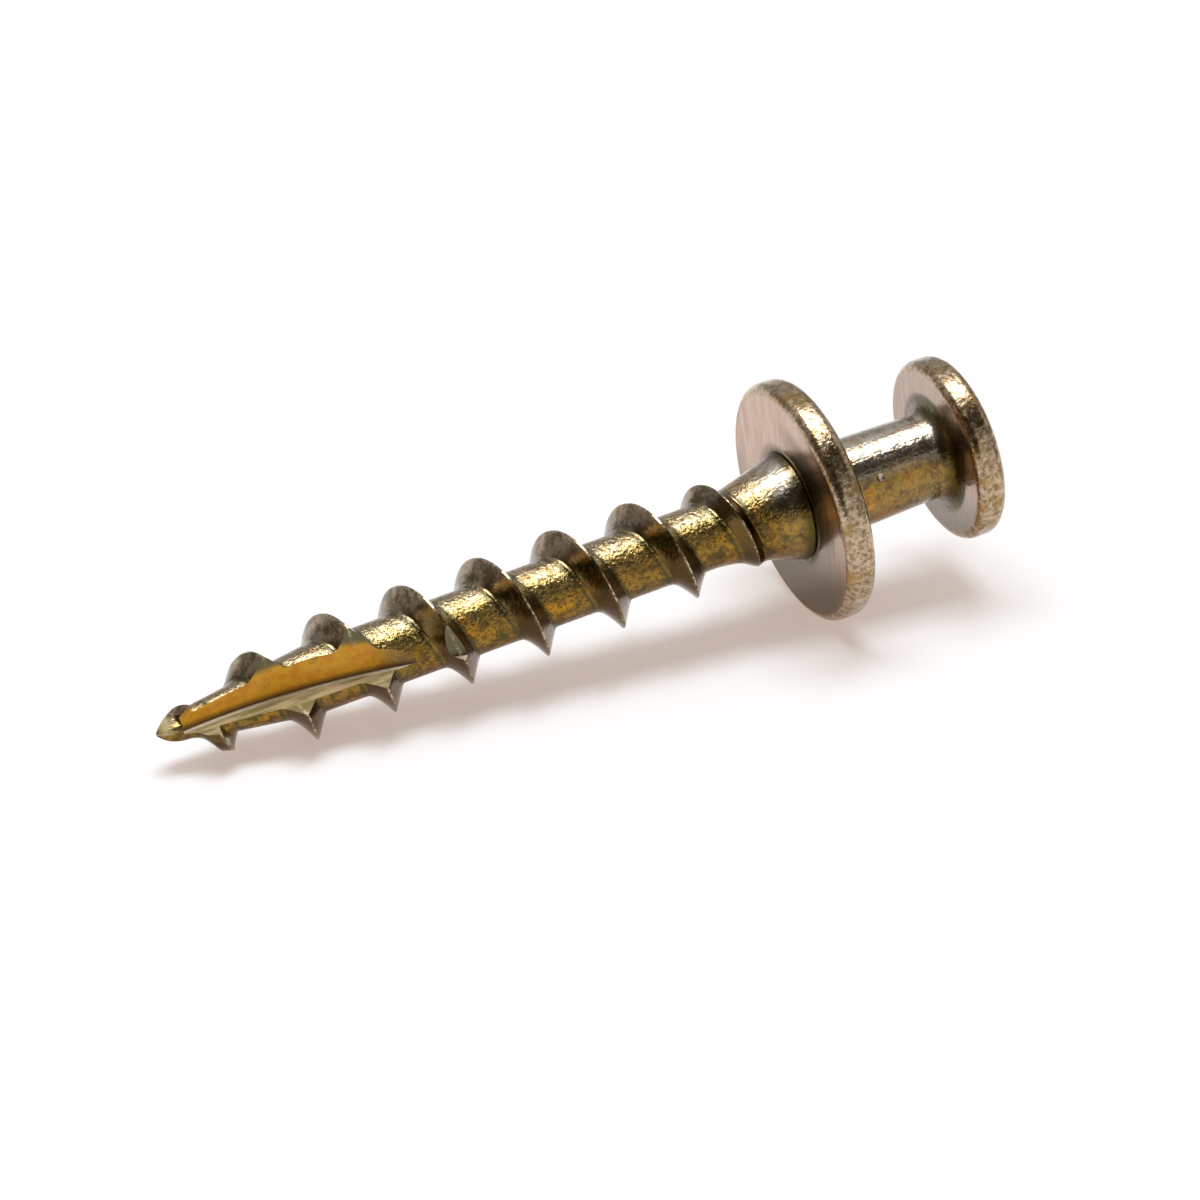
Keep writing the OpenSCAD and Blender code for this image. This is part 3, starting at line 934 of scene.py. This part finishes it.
def dented_normal(tree, own, drawn, cut_faces):
    """Height = (coarse + share x fine noise) x (1 - each zone's calm) + lines along the neck
    - the pit; the bump turns it into a normal."""
    dents = calc(tree, "ADD", noise(tree, own, *DENTS),
                 times(tree, noise(tree, own, *FINE_DENTS), FINE_SHARE))
    for name, calm in CALM.items():
        dents = times(tree, dents, without(tree, zone(tree, name), calm))
    dents = times(tree, dents, without(tree, cut_faces, CUT_CALM))
    lines = times(tree, noise(tree, drawn, *DRAWN_LINES),
                  times(tree, zone(tree, "neck"), LINES_SHARE))
    height = calc(tree, "SUBTRACT", calc(tree, "ADD", dents, lines),
                  times(tree, pit_zone(tree, own), PIT_DEPTH))
    return make(tree, "Bump", {"Height": height, "Distance": DENT_DEPTH, "Strength": 1.0}
                ).outputs["Normal"]


# %% Put the finish together
CUT_DULL, CUT_ROUGH = 0.8, 0.36   # metal lost and roughness gained on the cut faces
NECK_COAT, LEAST_COAT = 0.5, 0.1
COAT_ROUGH, COAT_IOR = 0.08, 1.6


def plating():
    """The finish of the whole screw: colour, metal, coat, roughness and dents by zone."""
    material = bpy.data.materials.new("yellow_plating")
    material.use_nodes = True
    tree = material.node_tree
    own, drawn, combed = pattern_places(tree)
    colour = film_colour(tree, own)
    for cover, tint in layers(tree, own, drawn, combed):
        colour = blend(tree, cover, colour, tint)
    cut_faces = calc(tree, "MAXIMUM", zone(tree, "slot_wall"), zone(tree, "slot_floor"))
    # the nose's painted highlight is made duller and rougher too
    cut_faces = calc(tree, "MAXIMUM", cut_faces, zone(tree, "nose_highlight"))
    coat = calc(tree, "MAXIMUM", times(tree, zone(tree, "neck"), NECK_COAT), LEAST_COAT)
    rough = calc(tree, "ADD", pattern(tree, own, "roughness"),
                 times(tree, cut_faces, CUT_ROUGH))
    shader = tree.nodes["Principled BSDF"]
    shader.inputs["Coat Roughness"].default_value = COAT_ROUGH
    shader.inputs["Coat IOR"].default_value = COAT_IOR
    for socket, value in (("Base Color", colour),
                          ("Metallic", without(tree, cut_faces, CUT_DULL)),
                          ("Coat Weight", times(tree, coat, without(tree, zone(tree, "ring")))),
                          ("Roughness", rough),
                          ("Normal", dented_normal(tree, own, drawn, cut_faces))):
        tree.links.new(value, shader.inputs[socket])
    return material


screw.data.materials.clear()
screw.data.materials.append(plating())
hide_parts("screw")
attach(screw, "root")
print("plating has", len(screw.data.materials[0].node_tree.nodes), "nodes")

# %% [markdown]
# ## Table and light
# The screw lies on a white table under one large soft lamp that hangs over it, a little
# behind. The table's own colour is a cool grey, and a faint warm glow, which only the camera
# and reflections see, brings its lit parts to white and leaves its shade a trace of pink.
# Plated metal shows little but its surroundings, so the room is painted with care: warm grey,
# lighter overhead, with one pale patch low in front and three dark ones to the left and
# higher up. That is what puts the white band along the neck and the dark one under it.

# %% Lay the table
TABLE_REACH, TABLE_STEPS = 2.5, 9                  # metres from the middle, points to a side
TABLE_GREY, TABLE_ROUGH, TABLE_SHINE = (0.475, 0.55, 0.60, 1), 0.9, 0.1
GLOW_TINT, GLOW = (1.0, 0.78, 0.68, 1), 0.46


def table_finish():
    """Dull cool grey + a warm glow for camera, glossy and transmission rays only."""
    material = bpy.data.materials.new("white_table")
    material.use_nodes = True
    tree = material.node_tree
    shader = tree.nodes["Principled BSDF"]
    shader.inputs["Base Color"].default_value = TABLE_GREY
    shader.inputs["Roughness"].default_value = TABLE_ROUGH
    shader.inputs["Specular IOR Level"].default_value = TABLE_SHINE
    path = make(tree, "LightPath")
    seen = calc(tree, "MAXIMUM", path.outputs["Is Camera Ray"], path.outputs["Is Glossy Ray"])
    seen = calc(tree, "MAXIMUM", seen, path.outputs["Is Transmission Ray"])
    shader.inputs["Emission Color"].default_value = GLOW_TINT
    tree.links.new(times(tree, seen, GLOW), shader.inputs["Emission Strength"])
    return material


def table_top():
    """A square grid, its height 0 everywhere."""
    side = np.linspace(-TABLE_REACH, TABLE_REACH, TABLE_STEPS)
    x, y = np.meshgrid(side, side)
    points = np.stack([x, y, np.zeros_like(x)], axis=-1).reshape(-1, 3)
    mesh = bpy.data.meshes.new("table_top")
    mesh.from_pydata(points, [], sheet_faces(np.arange(x.size).reshape(x.shape)).tolist())
    mesh.materials.append(table_finish())
    obj = bpy.data.objects.new("table_top", mesh)
    bpy.context.scene.collection.objects.link(obj)
    return obj


table = table_top()
print("table:", len(table.data.polygons), "faces")

# %% Hang the lamp
LAMP_PLACE = (0.0, 0.11, 0.60)    # metres
LAMP_SIZE = (0.48, 0.22)          # metres
LAMP_BRIGHTNESS = 10.0            # how white its face looks, where 1 is paper white


def hang_lamp():
    """Power of an area lamp in watts = brightness x pi x its area. It faces down."""
    lamp = bpy.data.objects.new("soft_lamp", bpy.data.lights.new("soft_lamp", "AREA"))
    bpy.context.scene.collection.objects.link(lamp)
    lamp.data.shape = "RECTANGLE"
    lamp.data.size, lamp.data.size_y = LAMP_SIZE
    lamp.data.energy = LAMP_BRIGHTNESS * math.pi * LAMP_SIZE[0] * LAMP_SIZE[1]
    lamp.location = LAMP_PLACE
    return lamp


print("lamp of", round(hang_lamp().data.energy, 2), "W")

# %% Paint the room
BY_HEIGHT = ((0.0, (0.40, 0.39, 0.38, 1)), (0.35, (0.42, 0.41, 0.40, 1)),
             (0.7, (0.66, 0.64, 0.61, 1)), (1.0, (0.90, 0.87, 0.82, 1)))
# where a patch is, the cosines from it at which it begins and is full, and its colour
PATCHES = (((0.15, -0.98, 0.10), 0.84, 0.95, (0.85, 0.83, 0.79, 1)),
           ((-0.88, -0.34, 0.37), 0.72, 0.92, (0.13, 0.10, 0.07, 1)),
           ((-0.40, -0.68, 0.61), 0.80, 0.93, (0.05, 0.045, 0.035, 1)),
           ((0.32, -0.42, 0.85), 0.90, 0.97, (0.06, 0.05, 0.04, 1)))


def height_ramp(tree, value, stops):
    """A colour ramp from (height, colour) pairs."""
    node = make(tree, "ValToRGB", {"Fac": value})
    elements = node.color_ramp.elements
    while len(elements) < len(stops):
        elements.new(0.5)
    for element, (height, colour) in zip(elements, stops):
        element.position, element.color = height, colour
    return node.outputs["Color"]


def paint_room():
    """Colour by the height of the direction, then each patch by the cosine between its own
    direction and the one that is looked in."""
    world = bpy.data.worlds.new("room")
    bpy.context.scene.world = world
    world.use_nodes = True
    tree = world.node_tree
    direction = make(tree, "TexCoord").outputs["Generated"]
    height = make(tree, "SeparateXYZ", {0: direction}).outputs["Z"]
    sky = height_ramp(tree, height, BY_HEIGHT)
    for towards, begins, full, shade in PATCHES:
        near = make(tree, "VectorMath", {0: direction, 1: towards},
                    operation="DOT_PRODUCT").outputs["Value"]
        sky = blend(tree, between(tree, near, begins, full), sky, shade)
    tree.links.new(sky, tree.nodes["Background"].inputs["Color"])


paint_room()
bpy.context.scene.view_settings.view_transform = "Standard"
print("room with", len(PATCHES), "patches")
